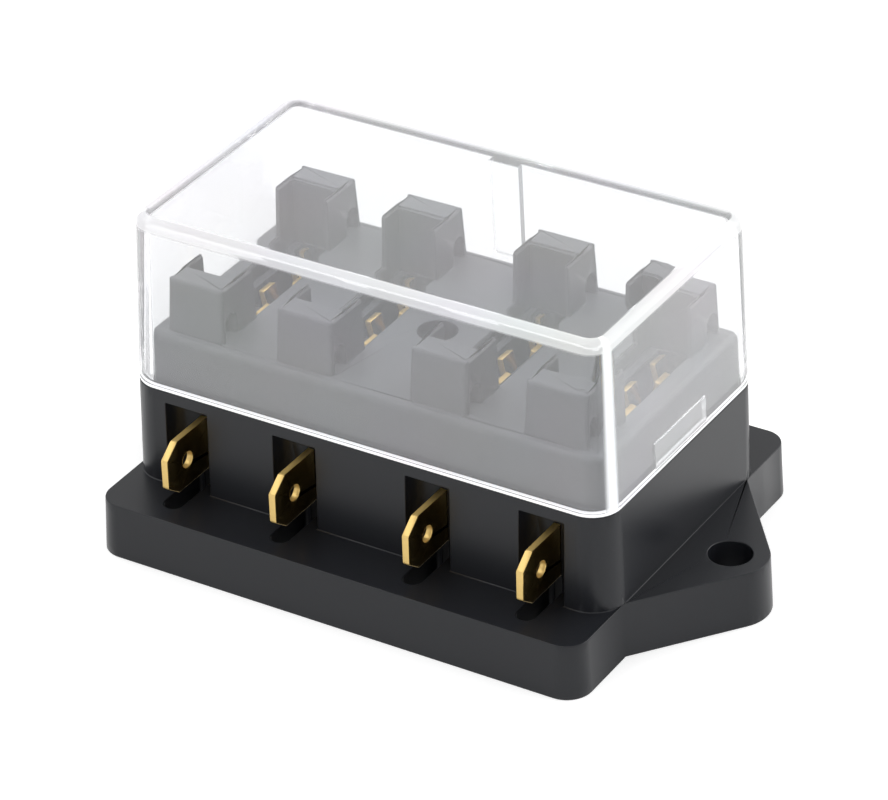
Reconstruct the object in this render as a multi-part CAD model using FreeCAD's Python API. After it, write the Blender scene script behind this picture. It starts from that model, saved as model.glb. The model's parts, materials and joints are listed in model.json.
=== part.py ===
import FreeCAD, Part
import math
import os

V = FreeCAD.Vector

# All sizes are in millimetres. X runs along the row of fuses, Z is up,
# and the underside of the flange lies on Z = 0.

# Spacing of the four ways
way_pitch = 13.52
middle_pitch = 16.26
way_to_end = 7.45

# Blade fuse that the holder takes
fuse_body_w = 19.1
fuse_body_t = 5.1
fuse_side_gap = 0.3
fuse_end_gap = 0.15
blade_centre_y = 5.1

# Flange and mounting ears
flange_t = 6.4
flange_reach = 6.7
flange_corner_r = 2.6
flange_draft = 0.3
ear_hole_d = 4.7
ear_hole_out = 5.39
ear_tip_r = 4.2
ear_root_y = 13.5

# Block, with the windows that let the tabs out
block_half_y = 16.6
block_corner_r = 3.4
block_draft = 0.3
window_w = 5.25
window_h = 9.9
window_depth = 3.1
lintel_h = 1.35
slot_w = 2.2
slot_short_of_tip = 0.2

# Raised fuse platform and its towers
platform_h = 6.15
platform_edge_r = 0.9
channel_depth = 1.8
channel_lead = 0.3
bridge_drop = 2.0
tower_h = 6.05
tower_wall = 0.65
tower_inner_y = 6.9
tower_setback = 1.4
tower_taper = 0.5
tower_edge_r = 0.5
arch_w = 2.2
arch_h = 2.9
arch_depth = 1.2
centre_bore_d = 4.3
centre_bore_depth = 12.0

# Clip-on cover
cover_h = 19.95
cover_wall = 1.5
cover_lean = 0.83
cover_gap = 0.3
cover_edge_r = 1.3
cover_rib_w = 3.5
cover_rib_t = 0.8
catch_w = 10.8
catch_z0 = 0.3
catch_h = 2.9
catch_depth = 0.5
ridge_w = 9.8
ridge_h = 1.4
ridge_out = 0.25

# Stamped terminals
tab_w = 6.3
tab_t = 0.8
tab_above_flange = 1.05
tab_out = 4.55
tab_chamfer_y = 1.95
tab_chamfer_z = 1.45
tab_hole_d = 1.8
tab_hole_from_tip = 3.75
clip_w = 8.4
clip_slit = 0.75
clip_root = 0.9
clip_swing_h = 1.8
clip_pinch_x = 0.65
clip_mouth_x = 1.2
clip_mouth_h = 2.4
clip_bend_r = 1.0
clip_below_floor = 0.2
clip_room = 0.3

# Pockets that core out the underside
core_wall = 1.6
core_roof = 2.8
core_corner_r = 1.0

# Values that follow from the ones above
way_x = [-middle_pitch / 2 - way_pitch, -middle_pitch / 2,
         middle_pitch / 2, middle_pitch / 2 + way_pitch]
block_half_x = way_x[3] + way_to_end
flange_half_x = block_half_x + block_draft
flange_half_y = block_half_y + flange_reach
ear_hole_x = block_half_x + ear_hole_out
shoulder_z = flange_t + window_h + lintel_h
platform_z = shoulder_z + platform_h
tower_z = platform_z + tower_h
floor_z = platform_z - channel_depth
cover_z = shoulder_z + cover_h
lean = cover_lean / cover_h

cover_in_x = block_half_x - cover_wall
cover_in_y = block_half_y - cover_wall
platform_half_x = cover_in_x - cover_gap
platform_half_y = cover_in_y - cover_gap
inner_corner_r = block_corner_r - cover_wall
platform_corner_r = inner_corner_r - cover_gap

channel_half_x = fuse_body_t / 2 + fuse_side_gap
channel_half_y = fuse_body_w / 2 + fuse_end_gap
tower_half_x = channel_half_x + tower_wall
tower_outer_y = platform_half_y - tower_setback

tab_z0 = flange_t + tab_above_flange
tab_z1 = tab_z0 + tab_w
tab_tip_y = block_half_y + tab_out
clip_y0 = blade_centre_y - clip_w / 2
clip_y1 = blade_centre_y + clip_w / 2
clip_z1 = floor_z - clip_below_floor
well_half_x = clip_mouth_x + tab_t / 2 + clip_room
well_y0 = clip_y0 - clip_room
well_y1 = clip_y1 + clip_room
window_y0 = block_half_y - window_depth


def box(x0, x1, y0, y1, z0, z1):
    """Block between two corners."""
    return Part.makeBox(x1 - x0, y1 - y0, z1 - z0, V(x0, y0, z0))


def cylinder(x, y, z0, z1, d):
    """Upright cylinder of diameter d."""
    return Part.makeCylinder(d / 2, z1 - z0, V(x, y, z0))


def round_corner(cx, cy, z, r, start):
    """Quarter circle about a centre, from the start angle in degrees."""
    p = []
    for step in (0, 45, 90):
        a = math.radians(start + step)
        p.append(V(cx + r * math.cos(a), cy + r * math.sin(a), z))
    return Part.Arc(*p).toShape()


def rounded_rectangle(half_x, half_y, r, z):
    """Closed outline about the origin with four rounded corners."""
    cx, cy = half_x - r, half_y - r
    corners = [round_corner(cx, cy, z, r, 0), round_corner(-cx, cy, z, r, 90),
               round_corner(-cx, -cy, z, r, 180), round_corner(cx, -cy, z, r, 270)]
    edges = []
    for i, arc in enumerate(corners):
        edges.append(arc)
        end = arc.Vertexes[-1].Point
        start = corners[(i + 1) % 4].Vertexes[0].Point
        edges.append(Part.LineSegment(end, start).toShape())
    return Part.Wire(edges)


def solid_between(low, high):
    """Solid between a lower and an upper polygon whose sides run parallel."""
    faces = [Part.Face(Part.makePolygon(ring + ring[:1])) for ring in (low, high)]
    for i in range(len(low)):
        k = (i + 1) % len(low)
        faces.append(Part.Face(Part.makePolygon([low[i], low[k], high[k], high[i], low[i]])))
    return Part.Solid(Part.Shell(faces))


def leaning_prism(half_x, half_y, z0, z1, inset_x, inset_y):
    """Block on a rectangle whose sides lean in by their insets over its height."""
    rings = []
    for z, dx, dy in ((z0, 0, 0), (z1, inset_x, inset_y)):
        x, y = half_x - dx, half_y - dy
        rings.append([V(x, y, z), V(-x, y, z), V(-x, -y, z), V(x, -y, z)])
    return solid_between(*rings)


def leaning_block(half_x, half_y, r, z0, z1, inset):
    """Rounded block whose sides lean in; its corners are cones, as in a drafted mould."""
    long_x = leaning_prism(half_x - r, half_y, z0, z1, 0, inset)
    long_y = leaning_prism(half_x, half_y - r, z0, z1, inset, 0)
    corners = [Part.makeCone(r, r - inset, z1 - z0, V(x, y, z0))
               for x in (r - half_x, half_x - r) for y in (r - half_y, half_y - r)]
    return long_x.fuse([long_y] + corners).removeSplitter()


def edges_at_height(shape, z):
    """Edges that lie wholly at one height."""
    return [e for e in shape.Edges
            if abs(e.BoundBox.ZMin - z) < 1e-4 and abs(e.BoundBox.ZMax - z) < 1e-4]


def turned(shape, x, side):
    """Copy moved to a way, on the rear for side +1 and the front for side -1."""
    copy = shape.copy()
    if side < 0:
        copy.rotate(V(0, 0, 0), V(0, 0, 1), 180)
    copy.translate(V(x, 0, 0))
    return copy


def per_terminal(shape):
    """The same shape at all eight terminal places."""
    return [turned(shape, x, side) for x in way_x for side in (-1, 1)]


def per_terminal_list(shapes):
    """Each shape of a list at all eight terminal places."""
    return [copy for shape in shapes for copy in per_terminal(shape)]


def flared_block(half_x, half_y, r, z0, z1, draft):
    """Rounded block that has its stated size at the top and flares out below."""
    return leaning_block(half_x + draft, half_y + draft, r + draft, z0, z1, draft)


def ear():
    """Right-hand ear: its sides run tangent to a cone about the mounting hole."""
    dx, dy = flange_half_x - ear_hole_x, ear_root_y
    turn = math.atan2(dy, dx) - math.acos(ear_tip_r / math.hypot(dx, dy))
    c, s = math.cos(turn), math.sin(turn)
    inside = flange_half_x - flange_corner_r
    rings = []
    for z, r in ((0, ear_tip_r + flange_draft), (flange_t, ear_tip_r)):
        x, y = ear_hole_x + r * c, r * s
        root = y + (x - inside) * c / s
        rings.append([V(inside, -root, z), V(x, -y, z), V(x, y, z), V(inside, root, z)])
    tip = Part.makeCone(ear_tip_r + flange_draft, ear_tip_r, flange_t, V(ear_hole_x, 0, 0))
    return solid_between(*rings).fuse(tip)


def base_plate():
    """Flange and both ears as one drafted plate with its two mounting holes."""
    plate = flared_block(flange_half_x, flange_half_y, flange_corner_r, 0, flange_t, flange_draft)
    plate = plate.fuse([ear(), turned(ear(), 0, -1)]).removeSplitter()
    for side in (-1, 1):
        plate = plate.cut(cylinder(side * ear_hole_x, 0, -1, flange_t + 1, ear_hole_d))
    return plate


def platform():
    """Raised platform that carries the fuses, with its catch ridges."""
    inset = lean * platform_h
    body = leaning_block(platform_half_x, platform_half_y, platform_corner_r,
                         shoulder_z, platform_z, inset)
    body = body.makeFillet(platform_edge_r, edges_at_height(body, platform_z))
    mid = shoulder_z + catch_z0 + catch_h / 2
    z0, z1 = mid - ridge_h / 2, mid + ridge_h / 2
    wall = [platform_half_x - lean * (z - shoulder_z) for z in (z0, mid, z1)]
    points = [V(wall[0] - 1, -ridge_w / 2, z0), V(wall[0], -ridge_w / 2, z0),
              V(wall[1] + ridge_out, -ridge_w / 2, mid), V(wall[2], -ridge_w / 2, z1),
              V(wall[2] - 1, -ridge_w / 2, z1)]
    ridge = Part.Face(Part.makePolygon(points + points[:1])).extrude(V(0, ridge_w, 0))
    return body.fuse([ridge, turned(ridge, 0, -1)])


def tower():
    """Rear tower of a way, which hugs one end of the fuse body."""
    half_y = (tower_outer_y - tower_inner_y) / 2
    draft = tower_wall / 5
    body = leaning_prism(tower_half_x, half_y, platform_z, tower_z, draft, draft)
    body.translate(V(0, (tower_inner_y + tower_outer_y) / 2, 0))
    run = tower_outer_y - tower_inner_y + 2
    cutter = Part.makeBox(4 * tower_half_x, run, 2 * tower_h,
                          V(-2 * tower_half_x, tower_outer_y, platform_z))
    cutter.rotate(V(0, tower_outer_y, platform_z), V(1, 0, 0),
                  math.degrees(math.atan2(tower_taper, tower_h)))
    body = body.cut(cutter)
    outer = [e for e in body.Edges
             if e.BoundBox.YMin > tower_outer_y - tower_taper - 0.2
             and e.BoundBox.ZMax > platform_z + 1]
    body = body.makeFillet(tower_edge_r, outer)
    for side in (-1, 1):
        body = body.cut(side_arch(side))
    return body


def side_arch(side):
    """Round-topped recess in one side of a tower, at the foot of its end wall."""
    y = (channel_half_y + tower_outer_y) / 2
    z = platform_z + arch_h - arch_w / 2
    x0 = side * (tower_half_x - arch_depth)
    x1 = side * (tower_half_x + 1)
    low, high = min(x0, x1), max(x0, x1)
    shaft = box(low, high, y - arch_w / 2, y + arch_w / 2, platform_z - 1, z)
    top = Part.makeCylinder(arch_w / 2, high - low, V(low, y, z), V(1, 0, 0))
    return shaft.fuse(top)


def channel(x):
    """Channel of one way, open at the top, with a small lead-in at its rim
    and a notch in the bridge between its two terminal wells."""
    straight = box(x - channel_half_x, x + channel_half_x,
                   -channel_half_y, channel_half_y, floor_z, tower_z + 1)
    notch = box(x - well_half_x, x + well_half_x,
                -well_y0, well_y0, floor_z - bridge_drop, floor_z + 1)
    parts = [straight, notch]
    for z, half_y in ((platform_z, tower_inner_y), (tower_z, channel_half_y + channel_lead)):
        a, b = channel_half_x, channel_half_x + channel_lead
        points = [V(x - a, -half_y, z - channel_lead), V(x + a, -half_y, z - channel_lead),
                  V(x + b, -half_y, z), V(x + b, -half_y, z + 0.5),
                  V(x - b, -half_y, z + 0.5), V(x - b, -half_y, z)]
        wedge = Part.Face(Part.makePolygon(points + points[:1])).extrude(V(0, 2 * half_y, 0))
        parts.append(wedge)
    return parts


def terminal_passage():
    """All that is cut away for one rear terminal, from the clip to the open air."""
    grip = tab_t / 2
    slot = slot_w / 2
    slot_end = tab_tip_y - slot_short_of_tip - slot
    return [
        box(-well_half_x, well_half_x, well_y0, well_y1, -1, floor_z + 1),
        box(-grip, grip, well_y1 - 1, window_y0 + 1, -1, tab_z1),
        box(-window_w / 2, window_w / 2, window_y0, block_half_y + 1,
            flange_t, flange_t + window_h),
        box(-slot, slot, window_y0, slot_end, -1, flange_t + 1),
        cylinder(0, slot_end, -1, flange_t + 0.5, slot_w)]


def core_pockets():
    """Blind pockets in the underside, between the terminal wells."""
    roof = platform_z - core_roof
    wells = [x + s * (well_half_x + core_wall) for x in way_x for s in (-1, 1)]
    end_y = window_y0 - core_wall
    start_y = centre_bore_d / 2 + core_wall
    pockets = []
    for low, high in ((wells[1], wells[2]), (wells[5], wells[6])):
        outline = rounded_rectangle((high - low) / 2, end_y, core_corner_r, -1)
        outline.translate(V((low + high) / 2, 0, 0))
        pockets.append(Part.Face(outline).extrude(V(0, 0, roof + 1)))
    half_x = (wells[4] - wells[3]) / 2
    for side in (-1, 1):
        outline = rounded_rectangle(half_x, (end_y - start_y) / 2, core_corner_r, -1)
        outline.translate(V(0, side * (end_y + start_y) / 2, 0))
        pockets.append(Part.Face(outline).extrude(V(0, 0, roof + 1)))
    return pockets


def housing():
    """Base moulding: flange, ears, block, platform, towers and all their cut-outs."""
    block = flared_block(block_half_x, block_half_y, block_corner_r,
                         flange_t, shoulder_z, block_draft)
    body = base_plate().fuse([block, platform()] + per_terminal(tower())).removeSplitter()
    cuts = per_terminal_list(terminal_passage()) + core_pockets()
    for x in way_x:
        cuts += channel(x)
    cuts.append(cylinder(0, 0, platform_z - centre_bore_depth, platform_z + 1, centre_bore_d))
    return body.cut(cuts)


def cover():
    """Clear cover: a leaning shell with catch recesses and one stiffening rib."""
    outer = leaning_block(block_half_x, block_half_y, block_corner_r,
                          shoulder_z, cover_z, cover_lean)
    outer = outer.makeFillet(cover_edge_r, edges_at_height(outer, cover_z))
    roof = cover_z - cover_wall
    inner = leaning_block(cover_in_x, cover_in_y, inner_corner_r,
                          shoulder_z, roof, lean * (roof - shoulder_z))
    shell = outer.cut(inner)
    core = leaning_block(cover_in_x - cover_rib_t, cover_in_y - cover_rib_t, inner_corner_r,
                         shoulder_z, roof, lean * (roof - shoulder_z))
    slab = box(-cover_rib_w / 2, cover_rib_w / 2, cover_in_y / 2, block_half_y,
               platform_z + cover_rib_t, roof)
    shell = shell.fuse(inner.cut(core).common(slab)).removeSplitter()
    c0 = shoulder_z + catch_z0
    for side in (-1, 1):
        edge = side * (cover_in_x + catch_depth)
        x0, x1 = min(edge, side * platform_half_x), max(edge, side * platform_half_x)
        shell = shell.cut(box(x0, x1, -catch_w / 2, catch_w / 2, c0, c0 + catch_h))
    return shell


def shifted(points, d):
    """Path moved sideways by d, to the left of its run, with mitred corners."""
    units = []
    for (x0, y0), (x1, y1) in zip(points, points[1:]):
        n = math.hypot(x1 - x0, y1 - y0)
        units.append(((x1 - x0) / n, (y1 - y0) / n))
    moved = []
    for i, (x, y) in enumerate(points):
        a = units[max(i - 1, 0)]
        b = units[min(i, len(units) - 1)]
        grow = d / (1 + a[0] * b[0] + a[1] * b[1])
        moved.append((x - grow * (a[1] + b[1]), y + grow * (a[0] + b[0])))
    return moved


def bent_line(points, radii, d, to_3d):
    """Edges of the path moved by d, each corner rounded about the strip's bend."""
    path = [FreeCAD.Vector(x, y, 0) for x, y in shifted(points, d)]
    edges, start = [], path[0]
    for i in range(1, len(path) - 1):
        u = (path[i] - path[i - 1]).normalize()
        w = (path[i + 1] - path[i]).normalize()
        side = 1 if u.cross(w).z > 0 else -1
        r = radii[i - 1] - side * d
        angle = u.getAngle(w)
        run = r * math.tan(angle / 2)
        p, q = path[i] - u * run, path[i] + w * run
        out = (u - w).normalize()
        middle = path[i] - out * (r / math.cos(angle / 2) - r)
        if (p - start).Length > 1e-6:
            edges.append(Part.LineSegment(to_3d(start), to_3d(p)).toShape())
        edges.append(Part.Arc(to_3d(p), to_3d(middle), to_3d(q)).toShape())
        start = q
    edges.append(Part.LineSegment(to_3d(start), to_3d(path[-1])).toShape())
    return edges, path[0], path[-1]


def bent_strip(points, radii, to_3d):
    """Face of a bent sheet of the terminal's thickness, seen edge on."""
    left, a0, a1 = bent_line(points, radii, tab_t / 2, to_3d)
    right, b0, b1 = bent_line(points, radii, -tab_t / 2, to_3d)
    ends = [Part.LineSegment(to_3d(a0), to_3d(b0)).toShape(),
            Part.LineSegment(to_3d(a1), to_3d(b1)).toShape()]
    return Part.Face(Part.Wire(Part.__sortEdges__(left + right + ends)))


def finger(y0, width, side):
    """One spring finger of a clip, which swings to one side of the fuse blade."""
    root = tab_z1 + clip_root
    path = [(0, root - 0.5), (0, root), (side * clip_pinch_x, root + clip_swing_h),
            (side * clip_pinch_x, clip_z1 - clip_mouth_h), (side * clip_mouth_x, clip_z1)]
    face = bent_strip(path, [clip_bend_r] * 3, lambda p: V(p.x, y0, p.y))
    return face.extrude(V(0, width, 0))


def terminal():
    """Rear terminal at the middle of the row: a flat blank with a tab at its outer
    end and three fingers at its inner end, of which the middle one faces the others."""
    tip, cy, cz = tab_tip_y, tab_chamfer_y, tab_chamfer_z
    outline = [(clip_y0, tab_z0), (tip - cy, tab_z0), (tip, tab_z0 + cz), (tip, tab_z1 - cz),
               (tip - cy, tab_z1), (clip_y1, tab_z1), (clip_y1, tab_z1 + clip_root),
               (clip_y0, tab_z1 + clip_root), (clip_y0, tab_z0)]
    blank = Part.Face(Part.makePolygon([V(-tab_t / 2, y, z) for y, z in outline]))
    blank = blank.extrude(V(tab_t, 0, 0))
    hole = Part.makeCylinder(tab_hole_d / 2, 2,
                             V(-1, tip - tab_hole_from_tip, (tab_z0 + tab_z1) / 2), V(1, 0, 0))
    width = (clip_w - 2 * clip_slit) / 3
    fingers = [finger(clip_y0 + i * (width + clip_slit), width, side)
               for i, side in enumerate((-1, 1, -1))]
    return blank.cut(hole).fuse(fingers).removeSplitter()


def save(shape, name):
    """Check one solid and write it under its plain name."""
    solids = shape.Solids
    assert len(solids) == 1 and solids[0].isValid(), name
    solids[0].exportStep("parts/" + name + ".step")
    print(name, "volume mm3", round(solids[0].Volume, 1))


os.makedirs("parts", exist_ok=True)
save(housing(), "base_housing")
save(cover(), "cover")
blank = terminal()
for number, x in enumerate(way_x, 1):
    save(turned(blank, x, -1), "terminal_front_%d" % number)
    save(turned(blank, x, 1), "terminal_rear_%d" % number)
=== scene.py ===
# %% [markdown]
# # A four-way blade fuse holder
#
# This lesson dresses a small electrical part: a black moulded base with brass
# tabs along both sides, under a clear lift-off cover. The solids come from the
# CAD model and stand as a fixed frame. Each cell below adds one piece or one
# finish around that frame, in metres, with nothing moved.

# %% Load the fixed frame
import json
from math import cos, radians, sin

import bmesh
import bpy
import numpy as np
from mathutils import Matrix, Vector

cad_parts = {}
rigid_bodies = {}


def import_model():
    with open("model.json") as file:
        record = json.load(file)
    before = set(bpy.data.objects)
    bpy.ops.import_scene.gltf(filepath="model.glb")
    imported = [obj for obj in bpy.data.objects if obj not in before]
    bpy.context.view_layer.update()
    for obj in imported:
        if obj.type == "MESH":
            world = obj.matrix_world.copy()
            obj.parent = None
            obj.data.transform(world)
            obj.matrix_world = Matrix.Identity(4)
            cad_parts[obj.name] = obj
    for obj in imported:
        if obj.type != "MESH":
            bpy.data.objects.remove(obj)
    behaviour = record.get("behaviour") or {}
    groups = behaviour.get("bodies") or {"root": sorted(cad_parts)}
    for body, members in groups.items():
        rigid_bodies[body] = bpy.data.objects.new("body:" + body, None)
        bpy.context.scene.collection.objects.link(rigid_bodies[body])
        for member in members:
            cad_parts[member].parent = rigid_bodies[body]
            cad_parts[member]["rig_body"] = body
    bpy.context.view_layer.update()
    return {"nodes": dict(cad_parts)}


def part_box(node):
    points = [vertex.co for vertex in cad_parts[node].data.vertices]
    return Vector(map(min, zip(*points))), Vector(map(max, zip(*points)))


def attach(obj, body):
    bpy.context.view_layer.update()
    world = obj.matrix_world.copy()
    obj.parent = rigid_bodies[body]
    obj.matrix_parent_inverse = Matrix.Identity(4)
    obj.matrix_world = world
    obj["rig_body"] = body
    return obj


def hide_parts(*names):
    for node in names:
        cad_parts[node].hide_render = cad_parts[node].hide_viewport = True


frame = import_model()
mm = 0.001
print("CAD nodes:", ", ".join(sorted(frame["nodes"])))

# %% [markdown]
# ## The camera
#
# The view was found by fitting a pinhole camera to the outline of the part.
# The camera stands in front, to the right and above, and leans a little. It can
# be written as a place, two angles and a roll, from which the three directions
# of the camera follow. That is easier to read and to change than a matrix.

# %% Place the camera
camera_place = Vector((209.392, -333.39, 255.986)) * mm
turn, rise, roll = radians(32.12), radians(31.484), radians(-1.825)
frame_width_px, focal_px, sensor_mm = 888, 4348.83, 36.0

back = Vector((sin(turn) * cos(rise), -cos(turn) * cos(rise), sin(rise)))
level = Vector((cos(turn), sin(turn), 0))
over = back.cross(level)
right = cos(roll) * level + sin(roll) * over
up = cos(roll) * over - sin(roll) * level

camera_data = bpy.data.cameras.new("camera")
camera_data.sensor_width = sensor_mm
camera_data.lens = sensor_mm * focal_px / frame_width_px
camera_data.clip_start, camera_data.clip_end = 0.01, 20
camera = bpy.data.objects.new("camera", camera_data)
bpy.context.scene.collection.objects.link(camera)
camera.matrix_world = Matrix((
    (right.x, up.x, back.x, camera_place.x),
    (right.y, up.y, back.y, camera_place.y),
    (right.z, up.z, back.z, camera_place.z),
    (0, 0, 0, 1)))
bpy.context.scene.camera = camera
bpy.context.scene.view_settings.view_transform = "Standard"
print("lens in mm:", round(camera_data.lens, 1))

# %% [markdown]
# ## The studio
#
# The part was pictured on white, in very soft light. A white world gives the
# even light, and two wide lamps give the slow gradients on the black plastic.
# The floor is a matte white sheet. What the camera sees of it, straight or in a
# reflection, gets a little light of its own, so that it reads as white paper and
# still keeps the shadow under the part.

# %% Helpers for node trees
def add_node(tree, kind, **settings):
    """A new node of that kind with its attributes set."""
    node = tree.nodes.new(kind)
    for name, value in settings.items():
        setattr(node, name, value)
    return node


def seen_ray(tree):
    """Value of 1 for rays from the camera, from gloss and through glass."""
    path = add_node(tree, "ShaderNodeLightPath")
    total = path.outputs["Is Camera Ray"]
    for name in ("Is Glossy Ray", "Is Transmission Ray"):
        adder = add_node(tree, "ShaderNodeMath", operation="MAXIMUM")
        tree.links.new(total, adder.inputs[0])
        tree.links.new(path.outputs[name], adder.inputs[1])
        total = adder.outputs[0]
    return total


# %% World, floor and lamps
world_light = 0.75
world = bpy.data.worlds.new("studio")
bpy.context.scene.world = world
world.use_nodes = True
tree = world.node_tree
tree.nodes.clear()
sky = add_node(tree, "ShaderNodeBackground")
sky.inputs["Color"].default_value = (1, 1, 1, 1)
strength = add_node(tree, "ShaderNodeMapRange")
strength.inputs["To Min"].default_value = world_light
strength.inputs["To Max"].default_value = 1.0
tree.links.new(seen_ray(tree), strength.inputs["Value"])
tree.links.new(strength.outputs["Result"], sky.inputs["Strength"])
tree.links.new(sky.outputs[0], add_node(tree, "ShaderNodeOutputWorld").inputs[0])

floor_white, floor_lift = 0.8, 0.45
paper = bpy.data.materials.new("white_paper")
paper.use_nodes = True
tree = paper.node_tree
matte = tree.nodes["Principled BSDF"]
matte.inputs["Base Color"].default_value = (floor_white,) * 3 + (1,)
matte.inputs["Roughness"].default_value = 1.0
matte.inputs["Specular IOR Level"].default_value = 0.0
matte.inputs["Emission Color"].default_value = (1, 1, 1, 1)
lift = add_node(tree, "ShaderNodeMath", operation="MULTIPLY")
lift.inputs[1].default_value = floor_lift
tree.links.new(seen_ray(tree), lift.inputs[0])
tree.links.new(lift.outputs[0], matte.inputs["Emission Strength"])

floor_half = 3.0
floor_mesh = bpy.data.meshes.new("floor")
floor_mesh.from_pydata([(-floor_half, -floor_half, 0), (floor_half, -floor_half, 0),
                        (floor_half, floor_half, 0), (-floor_half, floor_half, 0)],
                       [], [(0, 1, 2, 3)])
floor_mesh.materials.append(paper)
floor = bpy.data.objects.new("floor", floor_mesh)
bpy.context.scene.collection.objects.link(floor)


def soft_lamp(name, place, aim, size, power):
    """A square area lamp that faces its aim."""
    data = bpy.data.lights.new(name, "AREA")
    data.size, data.energy = size, power
    lamp = bpy.data.objects.new(name, data)
    bpy.context.scene.collection.objects.link(lamp)
    lamp.location = place
    lamp.rotation_euler = (Vector(aim) - Vector(place)).to_track_quat("-Z", "Y").to_euler()
    return lamp


part_middle = (0, 0, 0.02)
soft_lamp("over_left", (-0.5, -0.2, 0.8), part_middle, 0.9, 3.0)
soft_lamp("behind_right", (0.55, 0.55, 0.5), part_middle, 0.7, 4.0)
print("lamps:", len(bpy.data.lights))

# %% [markdown]
# ## Black moulded nylon
#
# The base is glass-filled nylon from a fine-eroded mould: nearly black, faintly
# blue, with a satin sheen that is never quite even. An image of grain would need
# a UV map on every piece. The grain here is a shader group with its own inputs
# instead, which nylon and brass both use. It reads Object coordinates, so it is
# fixed to the part and has one size everywhere.

# %% Grain group
def grain_group():
    """Group that turns a size, a depth of tone and a roughness into fine grain.

    Height is the fine noise. Roughness is its middle value plus its spread times
    the broad noise less a half. Color is the given colour times one plus the tone
    spread times the mean of both noises less a half.
    """
    group = bpy.data.node_groups.new("fine_grain", "ShaderNodeTree")
    add = group.interface.new_socket
    for name, kind, value in (("Color", "NodeSocketColor", (0.02, 0.02, 0.02, 1)),
                              ("Tone Spread", "NodeSocketFloat", 0.2),
                              ("Grain Size", "NodeSocketFloat", 0.0003),
                              ("Roughness", "NodeSocketFloat", 0.4),
                              ("Roughness Spread", "NodeSocketFloat", 0.1)):
        add(name, in_out="INPUT", socket_type=kind).default_value = value
    for name, kind in (("Color", "NodeSocketColor"), ("Roughness", "NodeSocketFloat"),
                       ("Height", "NodeSocketFloat")):
        add(name, in_out="OUTPUT", socket_type=kind)
    start = add_node(group, "NodeGroupInput")
    end = add_node(group, "NodeGroupOutput")
    place = add_node(group, "ShaderNodeTexCoord").outputs["Object"]

    per_metre = add_node(group, "ShaderNodeMath", operation="DIVIDE")
    per_metre.inputs[0].default_value = 1.0
    group.links.new(start.outputs["Grain Size"], per_metre.inputs[1])
    fine = add_node(group, "ShaderNodeTexNoise")
    fine.inputs["Detail"].default_value = 3
    group.links.new(place, fine.inputs["Vector"])
    group.links.new(per_metre.outputs[0], fine.inputs["Scale"])
    group.links.new(fine.outputs["Fac"], end.inputs["Height"])

    broad = add_node(group, "ShaderNodeTexNoise")
    broad.inputs["Scale"].default_value = 90
    broad.inputs["Detail"].default_value = 4
    group.links.new(place, broad.inputs["Vector"])

    def spread(source, middle, width):
        """middle + (source - 0.5) * width, as sockets."""
        centred = add_node(group, "ShaderNodeMath", operation="SUBTRACT")
        centred.inputs[1].default_value = 0.5
        group.links.new(source, centred.inputs[0])
        mixed = add_node(group, "ShaderNodeMath", operation="MULTIPLY_ADD")
        group.links.new(centred.outputs[0], mixed.inputs[0])
        group.links.new(width, mixed.inputs[1])
        if isinstance(middle, float):
            mixed.inputs[2].default_value = middle
        else:
            group.links.new(middle, mixed.inputs[2])
        return mixed.outputs[0]

    group.links.new(spread(broad.outputs["Fac"], start.outputs["Roughness"],
                           start.outputs["Roughness Spread"]), end.inputs["Roughness"])
    both = add_node(group, "ShaderNodeMath", operation="MULTIPLY_ADD")
    both.inputs[1].default_value = 0.5
    group.links.new(fine.outputs["Fac"], both.inputs[0])
    half = add_node(group, "ShaderNodeMath", operation="MULTIPLY")
    half.inputs[1].default_value = 0.5
    group.links.new(broad.outputs["Fac"], half.inputs[0])
    group.links.new(half.outputs[0], both.inputs[2])
    tone = spread(both.outputs[0], 1.0, start.outputs["Tone Spread"])
    tinted = add_node(group, "ShaderNodeVectorMath", operation="SCALE")
    group.links.new(start.outputs["Color"], tinted.inputs[0])
    group.links.new(tone, tinted.inputs["Scale"])
    group.links.new(tinted.outputs[0], end.inputs["Color"])
    return group


fine_grain = grain_group()
print("grain group sockets:", len(fine_grain.interface.items_tree))


# %% Material with grain
def grained_material(name, values, bump_depth):
    """Material with the grain group feeding one Principled node."""
    material = bpy.data.materials.new(name)
    material.use_nodes = True
    tree = material.node_tree
    shader = tree.nodes["Principled BSDF"]
    grain = add_node(tree, "ShaderNodeGroup", node_tree=fine_grain)
    for socket, value in values.items():
        grain.inputs[socket].default_value = value
    tree.links.new(grain.outputs["Color"], shader.inputs["Base Color"])
    tree.links.new(grain.outputs["Roughness"], shader.inputs["Roughness"])
    bump = add_node(tree, "ShaderNodeBump")
    bump.inputs["Distance"].default_value = bump_depth
    bump.inputs["Strength"].default_value = 1.0
    tree.links.new(grain.outputs["Height"], bump.inputs["Height"])
    tree.links.new(bump.outputs["Normal"], shader.inputs["Normal"])
    return material, shader, grain


black_nylon, nylon_shader, nylon_grain = grained_material(
    "black_nylon",
    {"Color": (0.011, 0.012, 0.015, 1), "Tone Spread": 0.4, "Grain Size": 0.35 * mm,
     "Roughness": 0.34, "Roughness Spread": 0.10}, 0.0006 * mm)
nylon_shader.inputs["Specular IOR Level"].default_value = 0.32
print("nylon nodes:", len(black_nylon.node_tree.nodes))

# %% [markdown]
# ## The faces under the cover
#
# The platform and the towers stand under a milky cover. They read as a soft grey
# with plain differences between their tops and sides, which the haze of the cover
# alone would wash out. They could have a material of their own, but they are one
# moulding with the rest. So a second group paints light into the colour of what
# lies above the shoulder. This painted light is strongest on the tops, half as
# strong on the long sides and hardly there on the short sides. The way that a face
# looks comes from the Normal output of Texture Coordinate, which belongs to the
# object and not to the view.

# %% Paint light on the faces above the shoulder
under_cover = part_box("cover")[0].z + 0.15 * mm


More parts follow.
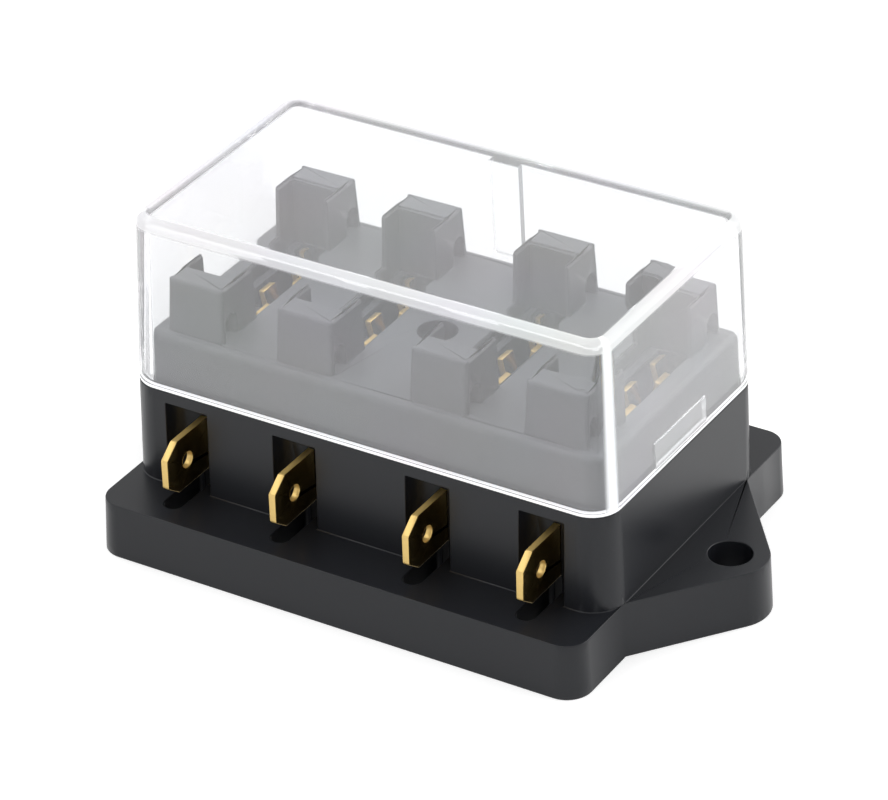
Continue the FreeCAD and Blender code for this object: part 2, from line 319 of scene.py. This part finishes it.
def painted_light_group():
    """Group that mixes in a second colour above a height, by the way a face looks.

    The second colour is painted light, so that tops read lighter than sides.
    The share is the sum over the three axes of the axis's own share times the
    square of the normal along it, and 0 below the height.
    """
    group = bpy.data.node_groups.new("painted_light_by_facing", "ShaderNodeTree")
    add = group.interface.new_socket
    for name, kind, value in (("Color", "NodeSocketColor", (0.02, 0.02, 0.02, 1)),
                              ("Painted Light Color", "NodeSocketColor", (0.15, 0.15, 0.16, 1)),
                              ("From Height", "NodeSocketFloat", 0.0),
                              ("On Top", "NodeSocketFloat", 1.0),
                              ("On Long Sides", "NodeSocketFloat", 0.5),
                              ("On Short Sides", "NodeSocketFloat", 0.0)):
        add(name, in_out="INPUT", socket_type=kind).default_value = value
    add("Color", in_out="OUTPUT", socket_type="NodeSocketColor")
    start = add_node(group, "NodeGroupInput")
    end = add_node(group, "NodeGroupOutput")
    coords = add_node(group, "ShaderNodeTexCoord")
    place = add_node(group, "ShaderNodeSeparateXYZ")
    group.links.new(coords.outputs["Object"], place.inputs[0])
    above = add_node(group, "ShaderNodeMath", operation="GREATER_THAN")
    group.links.new(place.outputs["Z"], above.inputs[0])
    group.links.new(start.outputs["From Height"], above.inputs[1])
    facing = add_node(group, "ShaderNodeSeparateXYZ")
    group.links.new(coords.outputs["Normal"], facing.inputs[0])
    share = None
    for axis, name in (("X", "On Short Sides"), ("Y", "On Long Sides"), ("Z", "On Top")):
        square = add_node(group, "ShaderNodeMath", operation="MULTIPLY")
        group.links.new(facing.outputs[axis], square.inputs[0])
        group.links.new(facing.outputs[axis], square.inputs[1])
        total = add_node(group, "ShaderNodeMath", operation="MULTIPLY_ADD")
        total.inputs[2].default_value = 0.0
        group.links.new(square.outputs[0], total.inputs[0])
        group.links.new(start.outputs[name], total.inputs[1])
        if share is not None:
            group.links.new(share, total.inputs[2])
        share = total.outputs[0]
    # Share of painted light, by the way the face looks and only above the height.
    painted_light = add_node(group, "ShaderNodeMath", operation="MULTIPLY")
    group.links.new(share, painted_light.inputs[0])
    group.links.new(above.outputs[0], painted_light.inputs[1])
    mixed = add_node(group, "ShaderNodeMix", data_type="RGBA")
    group.links.new(painted_light.outputs[0], mixed.inputs["Factor"])
    group.links.new(start.outputs["Color"], mixed.inputs["A"])
    group.links.new(start.outputs["Painted Light Color"], mixed.inputs["B"])
    group.links.new(mixed.outputs["Result"], end.inputs["Color"])
    return group


tree = black_nylon.node_tree
painted_light = add_node(tree, "ShaderNodeGroup", node_tree=painted_light_group())
# Painted light: tops lightest, long sides by half, short sides nearly unlit.
for socket, value in (("Painted Light Color", (0.125, 0.13, 0.14, 1)), ("From Height", under_cover),
                      ("On Top", 1.0), ("On Long Sides", 0.5), ("On Short Sides", 0.05)):
    painted_light.inputs[socket].default_value = value
tree.links.new(nylon_grain.outputs["Color"], painted_light.inputs["Color"])
tree.links.new(painted_light.outputs["Color"], nylon_shader.inputs["Base Color"])
print("lightened from mm:", round(under_cover / mm, 2))

# %% [markdown]
# ## Bright brass
#
# The tabs are stamped from rolled brass strip. Their broad faces are smooth, mirror
# the dark housing and look nearly black from the front. The cut edges are sheared
# and a little rough, so they catch light from all round and look golden. Two
# materials would need a border between them on every tab. A small group tells
# the two apart by the way that a face looks, and it is placed twice in the
# brass: once for Metallic and once for Roughness.

# %% Tell the strip from its cut edges
def sheared_group():
    """Group that mixes two values by the square of the normal along X.

    The strip's broad faces look along X, so they get On Strip, and the cut edges
    get On Edge.
    """
    group = bpy.data.node_groups.new("sheared_edges", "ShaderNodeTree")
    for name, value in (("On Strip", 0.0), ("On Edge", 1.0)):
        group.interface.new_socket(name, in_out="INPUT",
                                   socket_type="NodeSocketFloat").default_value = value
    group.interface.new_socket("Value", in_out="OUTPUT", socket_type="NodeSocketFloat")
    start = add_node(group, "NodeGroupInput")
    facing = add_node(group, "ShaderNodeSeparateXYZ")
    coords = add_node(group, "ShaderNodeTexCoord")
    group.links.new(coords.outputs["Normal"], facing.inputs[0])
    square = add_node(group, "ShaderNodeMath", operation="MULTIPLY")
    group.links.new(facing.outputs["X"], square.inputs[0])
    group.links.new(facing.outputs["X"], square.inputs[1])
    value = add_node(group, "ShaderNodeMapRange")
    group.links.new(square.outputs[0], value.inputs["Value"])
    group.links.new(start.outputs["On Edge"], value.inputs["To Min"])
    group.links.new(start.outputs["On Strip"], value.inputs["To Max"])
    group.links.new(value.outputs["Result"], add_node(group, "NodeGroupOutput").inputs["Value"])
    return group


sheared_edges = sheared_group()
print("sheared group sockets:", len(sheared_edges.interface.items_tree))

# %% Brass material
brass, brass_shader, brass_grain = grained_material(
    "bright_brass",
    {"Color": (0.74, 0.52, 0.18, 1), "Tone Spread": 0.3, "Grain Size": 0.25 * mm}, 0.0006 * mm)
for socket, on_strip, on_edge in (("Metallic", 1.0, 0.55), ("Roughness", 0.2, 0.38)):
    edge = add_node(brass.node_tree, "ShaderNodeGroup", node_tree=sheared_edges)
    edge.inputs["On Strip"].default_value = on_strip
    edge.inputs["On Edge"].default_value = on_edge
    brass.node_tree.links.new(edge.outputs[0], brass_shader.inputs[socket])
print("brass colour:", [round(c, 2) for c in brass_grain.inputs["Color"].default_value])

# %% [markdown]
# ## Rolled edges on the moulded and stamped pieces
#
# A moulded edge is never razor sharp, and a stamped edge rolls over. The CAD
# solids keep their crisp edges for measuring, so the visible housing and
# terminals are copies. A CAD solid comes as loose triangles, which a Bevel would
# spoil, so each copy is first merged into one skin and its flat faces are joined.
# Joined faces with many holes can fold over when their outline moves, so where
# wells and channels lie close together they are cut into triangles again.
#
# One Bevel with an angle limit could roll all edges alike. But the towers are
# softer than the rest, and where a hollow corner meets an outer one the order
# matters. So two attributes on the edges hold the share of the widest roll, one
# Bevel reads each of them, hollow corners first, and weighted normals keep the
# flat faces flat.

# %% Sizes of the rolled edges
housing_roll, terminal_roll, tower_roll = 0.12 * mm, 0.15 * mm, 0.45 * mm
merge_gap, flat_angle, sharp_angle, level_gap = 0.002 * mm, radians(0.4), radians(30), 0.02 * mm
tower_foot, tower_rise, tower_front, tower_depth = 23.7 * mm, 1 * mm, 13.0 * mm, 5 * mm
flush_low = np.array((29.05, 13.3, 1.0)) * mm
flush_high = np.array((29.55, 15.3, 17.0)) * mm
print("rolls in mm:", [round(roll / mm, 2) for roll in (housing_roll, terminal_roll, tower_roll)])


# %% Which edges are rolled, and how much
def joined_skin(mesh, cut_above):
    """The mesh as one skin with joined flat faces, in triangles above a height."""
    work = bmesh.new()
    work.from_mesh(mesh)
    bmesh.ops.remove_doubles(work, verts=work.verts, dist=merge_gap)
    bmesh.ops.dissolve_limit(work, angle_limit=flat_angle, verts=work.verts, edges=work.edges)
    bmesh.ops.triangulate(work, faces=[face for face in work.faces
                                       if face.calc_center_median().z > cut_above])
    return work


def edge_shares(work, roll):
    """Share of the tower roll for hollow and outer edges, and the edges left sharp.

    An edge is sharp when its faces meet at more than the sharp angle. Level edges
    in hollow corners are rolled, upright ones aren't, and neither are the few
    where the block stands flush with the end of the flange, because there is no
    room. The share is 1 on the edges of a tower, which stand on the platform and
    either lie at its front or run in depth, and roll / tower roll elsewhere.
    """
    sharp = np.array([edge.calc_face_angle(0) > sharp_angle for edge in work.edges])
    outer = np.array([edge.is_convex for edge in work.edges])
    ends = np.abs([[vert.co for vert in edge.verts] for edge in work.edges])
    near, far = ends.min(1), ends.max(1)
    length = far - near
    no_room = ((near[:, 0] > flush_low[0]) & (far[:, 0] < flush_high[0])
               & (far[:, 1] > flush_low[1]) & (near[:, 1] < flush_high[1])
               & (near[:, 2] > flush_low[2]) & (far[:, 2] < flush_high[2]))
    on_tower = ((near[:, 2] > tower_foot) & (far[:, 2] > tower_foot + tower_rise)
                & ((near[:, 1] > tower_front) | (length[:, 1] > tower_depth)))
    share = np.where(on_tower, 1, roll / tower_roll)
    hollow = sharp & ~outer & (length[:, 2] < level_gap) & ~no_room
    shares = {"hollow_edge": hollow * share, "outer_edge": (sharp & outer) * share}
    return shares, sharp & ~outer & ~hollow


# %% Copy with rolled edges
def softened(node, roll, cut_above, material):
    """Copy of a CAD node with its edges rolled and its flat faces kept flat."""
    source = frame["nodes"][node]
    mesh = source.data.copy()
    mesh.name = node + "_skin"
    work = joined_skin(mesh, cut_above)
    shares, still_sharp = edge_shares(work, roll)
    work.to_mesh(mesh)
    work.free()
    mesh.shade_smooth()
    for name, share in shares.items():
        mesh.attributes.new(name, "FLOAT", "EDGE").data.foreach_set("value", share)
    mesh.attributes.new("sharp_edge", "BOOLEAN", "EDGE").data.foreach_set("value", still_sharp)
    mesh.materials.clear()
    mesh.materials.append(material)
    skin = bpy.data.objects.new(node + "_skin", mesh)
    bpy.context.scene.collection.objects.link(skin)
    for name in shares:
        bevel = skin.modifiers.new("rolled_" + name, "BEVEL")
        bevel.width, bevel.segments = tower_roll, 2
        bevel.limit_method, bevel.edge_weight = "WEIGHT", name
        bevel.use_clamp_overlap = False
    normals = skin.modifiers.new("flat_faces_stay_flat", "WEIGHTED_NORMAL")
    normals.keep_sharp = True
    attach(skin, source["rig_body"])
    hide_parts(node)
    return skin


housing = softened("base_housing", housing_roll, under_cover, black_nylon)
print("housing faces before its rolls:", len(housing.data.polygons))
for node in sorted(frame["nodes"]):
    if node.startswith("terminal"):
        terminal = softened(node, terminal_roll, 0, brass)
print("terminal faces before its rolls:", len(terminal.data.polygons))

# %% [markdown]
# ## The clear cover
#
# The cover is one thin moulding: four leaning walls and a roof, with an outer
# edge rounded all along, a catch recess inside each end wall and one rib inside
# the rear wall. It could be a box with a Solidify modifier, but then neither the
# recesses nor the two different corner radii would be right. Instead the whole
# skin is one surface of two parameters: a core rectangle carried round, and a
# profile carried from the inside of the roof, down, round the rim and up to the
# outside of the roof. Every point is core(u) + radius(v) * outward(u).
#
# The same two parameters also say where light is painted on the plastic as white
# haze and glow: at the rim, along the rounded roof edge, in the front corners and on
# a band of the roof, with a little haze in the catches. That share is worked out
# beside the points and kept as a point attribute, which the material reads later.

# %% Sizes of the cover, taken from the frame
low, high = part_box("cover")
wall, corner_radius, top_radius, inner_top_radius = 1.5 * mm, 3.4 * mm, 1.3 * mm, 0.3 * mm
lean = 0.83 * mm / (high.z - low.z)
core_x, core_y = high.x - corner_radius, high.y - corner_radius
rib_half, rib_depth, rib_foot = 1.75 * mm, 0.8 * mm, low.z + 6.95 * mm
catch_half, catch_depth = 5.4 * mm, 0.5 * mm
catch_low, catch_high = low.z + 0.3 * mm, low.z + 3.2 * mm
rim_roll = 0.22 * mm
print("cover height in mm:", round((high.z - low.z) / mm, 2))

# %% Where light is painted on the cover, as shares of full haze
# The corner, top edge and roof band shares are painted light: white haze that stands in for
# highlights and for light bent through the rounded plastic. The wall share is the plastic's own
# faint milkiness, and the catch share adds a little haze in the catches.
wall_haze, catch_haze, top_edge_painted_light, corner_painted_light, roof_band_painted_light = 0.1, 0.35, 0.75, 0.95, 0.75
rim_band, band_fade, roof_band = 0.42 * mm, 0.1 * mm, 0.9 * mm
corner_light, corner_light_half = radians(22), radians(17)
# The ring of the roof gets painted light where it looks towards these far sides.
far_sides = 2 * np.array([-0.6, 0.8])
print("rim band in mm:", round(rim_band / mm, 2))


# %% Core line round the cover
def core_line(steps):
    """Points of the core rectangle, with the outward direction at each.

    Corners turn the direction by equal steps about a fixed point. The straight
    runs have doubled points where a catch or the rib begins and ends, one of them
    marked as on the feature, so that its side wall stands upright. The last value
    is 1 - ((angle from the end wall - corner_light) / corner_light_half)^4 in the
    front corners, not below 0, and 0 elsewhere. It is the share of painted light
    in the front corners.
    """
    points, outward, on_catch, on_rib, on_corner = [], [], [], [], []

    def put(x, y, angle, catch=0, rib=0):
        points.append((x, y))
        outward.append((np.cos(angle), np.sin(angle)))
        on_catch.append(catch)
        on_rib.append(rib)
        off_light = abs(np.arccos(min(1, abs(np.cos(angle)))) - corner_light)
        # Share of painted light in the front corners.
        on_corner.append(max(0, 1 - (off_light / corner_light_half) ** 4) * (y < 0))

    quarter = np.pi / 2
    for side, (x, y) in enumerate(((core_x, core_y), (-core_x, core_y),
                                   (-core_x, -core_y), (core_x, -core_y))):
        for step in range(steps + 1):
            put(x, y, quarter * (side + step / steps))
        facing = quarter * (side + 1)
        if side == 0:
            for x_rib, mark in ((rib_half, 0), (rib_half, 1), (-rib_half, 1), (-rib_half, 0)):
                put(x_rib, y, facing, rib=mark)
        if side in (1, 3):
            sign = 1 if side == 1 else -1
            for y_catch, mark in ((catch_half, 0), (catch_half, 1),
                                  (-catch_half, 1), (-catch_half, 0)):
                put(x, sign * y_catch, facing, catch=mark)
    return (np.array(points), np.array(outward), np.array(on_catch, float),
            np.array(on_rib, float), np.array(on_corner))


# %% Profile of the wall
def arc(centre_r, centre_z, radius, start, end, steps):
    """Points of an arc from start to end, angles in degrees from outward."""
    a = np.radians(np.linspace(start, end, steps + 1))
    return np.stack([centre_r + radius * np.cos(a), centre_z + radius * np.sin(a)], 1)


def cover_profile(steps):
    """Radius and height from the inner roof, down, round the rim, up to the outer roof.

    A wall leans by a fixed share of its height. Each rounding is an arc that is
    tangent to the wall and to the roof or rim. With the profile come, for each of
    its points, whether the rib and the catch reach it, its own share of haze and
    painted light, with painted light on the rim and the rounded roof edge, and
    whether it lies on the outside of the wall.
    """
    z0, z1 = low.z, high.z
    tilt = np.degrees(np.arctan(lean))
    reach = np.hypot(1, lean)
    inner_r, roof = corner_radius - wall, z1 - wall

    centre_z = roof - inner_top_radius
    centre_r = inner_r - lean * (centre_z - z0) - inner_top_radius * reach
    inner_top = arc(centre_r, centre_z, inner_top_radius, 90, tilt, steps)
    marks = np.array([rib_foot, rib_foot, catch_high, catch_high, catch_low, catch_low])
    inner_wall = np.stack([inner_r - lean * (marks - z0), marks], 1)

    centre_z = z0 + rim_roll
    inner_rim = arc(inner_r - lean * rim_roll + rim_roll, centre_z, rim_roll, 180, 270, steps // 2)
    outer_rim = arc(corner_radius - lean * rim_roll - rim_roll, centre_z, rim_roll,
                    270, 360, steps // 2)
    centre_z = z1 - top_radius
    centre_r = corner_radius - lean * (centre_z - z0) - top_radius * reach
    outer_top = arc(centre_r, centre_z, top_radius, tilt, 90, steps)
    marks = np.array([z0 + rim_band, z0 + rim_band + band_fade, centre_z - rim_roll])
    outer_wall = np.stack([corner_radius - lean * (marks - z0), marks], 1)
    roof_ring = np.array([[centre_r - roof_band, z1]])
    profile = np.concatenate([inner_top, inner_wall, inner_rim, outer_rim,
                              outer_wall, outer_top, roof_ring])

    count = len(profile)
    first, last = len(inner_top), count - 1 - len(outer_top)
    rim = slice(first + len(inner_wall), last - len(outer_wall) + 1)
    rib_share, catch_share = np.zeros(count), np.zeros(count)
    rib_share[:first + 1] = 1
    catch_share[first + 3:first + 5] = 1
    haze_and_light_share = np.full(count, wall_haze)
    # The rim gets full haze and painted light, the rounded roof edge its own share of painted
    # light.
    haze_and_light_share[rim] = 1
    haze_and_light_share[last:] = top_edge_painted_light
    haze_and_light_share[[0, -2, -1]] = 0
    outside = (np.arange(count) >= last - len(outer_wall)) & (np.arange(count) < count - 2)
    return profile, rib_share, catch_share, haze_and_light_share, outside


# %% The cover's surface
def skin_mesh(name, grid, closed_ends):
    """Mesh of a grid that is closed round its first parameter, ends filled flat."""
    around, along, _ = grid.shape
    index = np.arange(around * along).reshape(around, along)
    nxt = np.roll(index, -1, axis=0)
    quads = np.stack([index[:, :-1], nxt[:, :-1], nxt[:, 1:], index[:, 1:]], -1).reshape(-1, 4)
    faces = quads.tolist()
    if closed_ends:
        faces += [index[::-1, 0].tolist(), index[:, -1].tolist()]
    mesh = bpy.data.meshes.new(name)
    mesh.from_pydata(grid.reshape(-1, 3).tolist(), [], faces)
    return mesh


def cover_surface(around_steps, along_steps):
    """core(u) + (radius(v) + catch(u) catch(v) - rib(u) rib(v)) * outward(u).

    The share of haze and painted light is the largest of edge(v), corner(u) on the
    outside of the wall, and catch(u) catch(v). The corners carry painted light,
    bright bands that stand in for light bent through them. The ring of the roof
    gets painted light where outward(u) looks to the far sides.
    """
    core, outward, on_catch, on_rib, on_corner = core_line(around_steps)
    profile, rib_share, catch_share, haze_and_light_share, outside = cover_profile(along_steps)
    radius = (profile[None, :, 0]
              + catch_depth * on_catch[:, None] * catch_share[None, :]
              - rib_depth * on_rib[:, None] * rib_share[None, :])
    flat = core[:, None, :] + radius[..., None] * outward[:, None, :]
    height = np.broadcast_to(profile[None, :, 1], radius.shape)
    # Share of haze and painted light: the largest of the profile's, the front corners' and the
    # catches'.
    edge = np.maximum(haze_and_light_share, corner_painted_light * on_corner[:, None] * outside)
    edge = np.maximum(edge, catch_haze * on_catch[:, None] * catch_share)
    # Painted light on the ring of the roof, towards the far sides.
    edge[:, -2] = roof_band_painted_light * np.clip(outward @ far_sides, 0, 1)
    return np.concatenate([flat, height[..., None]], -1), edge


cover_grid, haze_and_painted_light = cover_surface(16, 8)
cover_mesh = skin_mesh("clear_cover", cover_grid, True)
# The attribute carries the share of haze and painted light to the material.
mask = cover_mesh.attributes.new("haze_and_painted_light", "FLOAT", "POINT")
mask.data.foreach_set("value", haze_and_painted_light.ravel())
work = bmesh.new()
work.from_mesh(cover_mesh)
bmesh.ops.remove_doubles(work, verts=work.verts, dist=merge_gap)
bmesh.ops.dissolve_degenerate(work, edges=work.edges, dist=merge_gap)
bmesh.ops.recalc_face_normals(work, faces=work.faces)
open_edges = sum(not e.is_manifold for e in work.edges)
work.to_mesh(cover_mesh)
print("cover faces:", len(work.faces), "open edges:", open_edges,
      "volume in mm3:", round(work.calc_volume() / mm ** 3))
work.free()

# %% [markdown]
# ## The clear plastic
#
# Polycarbonate is clear, but this cover looks milky over the black base: its faces
# mirror the white studio, and the plastic itself scatters a little light. The
# more a wall is seen at a slant, the longer the way through it and the whiter it
# gets. So the finish mixes glass with a white haze. The share of haze grows with the
# slant, which Layer Weight gives, and with the share of haze and painted light that
# was computed with the surface: the rim, the rounded roof edge, the front corners and
# a band of the roof are painted nearly white, as painted highlights. The brightest
# zones also glow with a painted light of their own. A weak coloured noise in the
# haze stands for the faint tints of stressed plastic. Light for the base would be
# lost or scattered at glass, so the rays that gather it pass straight through.

# %% Glass and haze of the cover
# The haze at the edges and the glow of the brightest zones are painted light.
haze_at_slant, haze_power, haze_and_painted_light_at_edge = 0.38, 1.5, 0.95
painted_glow, painted_glow_from, tint_share = 0.45, 0.62, 0.12
clear = bpy.data.materials.new("clear_plastic")
clear.use_nodes = True
tree = clear.node_tree
glass = tree.nodes["Principled BSDF"]
glass.inputs["Base Color"].default_value = (0.97, 0.975, 0.985, 1)
glass.inputs["Roughness"].default_value = 0.02
glass.inputs["IOR"].default_value = 1.52
glass.inputs["Transmission Weight"].default_value = 1.0
haze = add_node(tree, "ShaderNodeBsdfPrincipled")
haze.inputs["Roughness"].default_value = 0.35
cloud = add_node(tree, "ShaderNodeTexNoise")
cloud.inputs["Scale"].default_value = 75
cloud.inputs["Detail"].default_value = 1
tree.links.new(add_node(tree, "ShaderNodeTexCoord").outputs["Object"], cloud.inputs["Vector"])
tint = add_node(tree, "ShaderNodeMix", data_type="RGBA")
tint.inputs["Factor"].default_value = tint_share
tint.inputs["A"].default_value = (0.86, 0.86, 0.89, 1)
tree.links.new(cloud.outputs["Color"], tint.inputs["B"])
tree.links.new(tint.outputs["Result"], haze.inputs["Base Color"])
print("glass and haze:", len(tree.nodes), "nodes")

# %% Share of haze by slant and by zone
slant = add_node(tree, "ShaderNodeLayerWeight")
slant.inputs["Blend"].default_value = 0.5
steep = add_node(tree, "ShaderNodeMath", operation="POWER")
steep.inputs[1].default_value = haze_power
tree.links.new(slant.outputs["Facing"], steep.inputs[0])
slant_haze = add_node(tree, "ShaderNodeMath", operation="MULTIPLY")
slant_haze.inputs[1].default_value = haze_at_slant
tree.links.new(steep.outputs[0], slant_haze.inputs[0])
# Haze share from the attribute: painted light on the rim, the roof edge, the front corners and the
# roof band.
zone = add_node(tree, "ShaderNodeAttribute", attribute_name="haze_and_painted_light")
zone_haze_and_painted_light = add_node(tree, "ShaderNodeMath", operation="MULTIPLY")
zone_haze_and_painted_light.inputs[1].default_value = haze_and_painted_light_at_edge
tree.links.new(zone.outputs["Fac"], zone_haze_and_painted_light.inputs[0])
# Painted glow: zones above a share emit light of their own, though no lamp is there.
painted_glow_strength = add_node(tree, "ShaderNodeMapRange")
painted_glow_strength.inputs["From Min"].default_value = painted_glow_from
painted_glow_strength.inputs["To Max"].default_value = painted_glow
tree.links.new(zone.outputs["Fac"], painted_glow_strength.inputs["Value"])
haze.inputs["Emission Color"].default_value = (1, 1, 1, 1)
tree.links.new(painted_glow_strength.outputs["Result"], haze.inputs["Emission Strength"])
share = add_node(tree, "ShaderNodeMath", operation="MAXIMUM")
tree.links.new(slant_haze.outputs[0], share.inputs[0])
tree.links.new(zone_haze_and_painted_light.outputs[0], share.inputs[1])
milky = add_node(tree, "ShaderNodeMixShader")
tree.links.new(share.outputs[0], milky.inputs[0])
tree.links.new(glass.outputs[0], milky.inputs[1])
tree.links.new(haze.outputs[0], milky.inputs[2])
print("share of haze:", len(tree.nodes), "nodes")

# %% Straight passage for the light of the base
through = add_node(tree, "ShaderNodeBsdfTransparent")
path = add_node(tree, "ShaderNodeLightPath")
straight = add_node(tree, "ShaderNodeMath", operation="MAXIMUM")
tree.links.new(path.outputs["Is Shadow Ray"], straight.inputs[0])
tree.links.new(path.outputs["Is Diffuse Ray"], straight.inputs[1])
pick = add_node(tree, "ShaderNodeMixShader")
tree.links.new(straight.outputs[0], pick.inputs[0])
tree.links.new(milky.outputs[0], pick.inputs[1])
tree.links.new(through.outputs[0], pick.inputs[2])
tree.links.new(pick.outputs[0], tree.nodes["Material Output"].inputs["Surface"])
print("cover material:", clear.name, len(tree.nodes), "nodes")

# %% Finish the cover
crease_angle = radians(35)
cover_mesh.materials.append(clear)
cover_mesh.shade_smooth()
cover_mesh.set_sharp_from_angle(angle=crease_angle)
cover = bpy.data.objects.new("cover_skin", cover_mesh)
bpy.context.scene.collection.objects.link(cover)
normals = cover.modifiers.new("flat_faces_stay_flat", "WEIGHTED_NORMAL")
normals.keep_sharp = True
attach(cover, "cover")
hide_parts("cover")
print("cover vertices:", len(cover_mesh.vertices))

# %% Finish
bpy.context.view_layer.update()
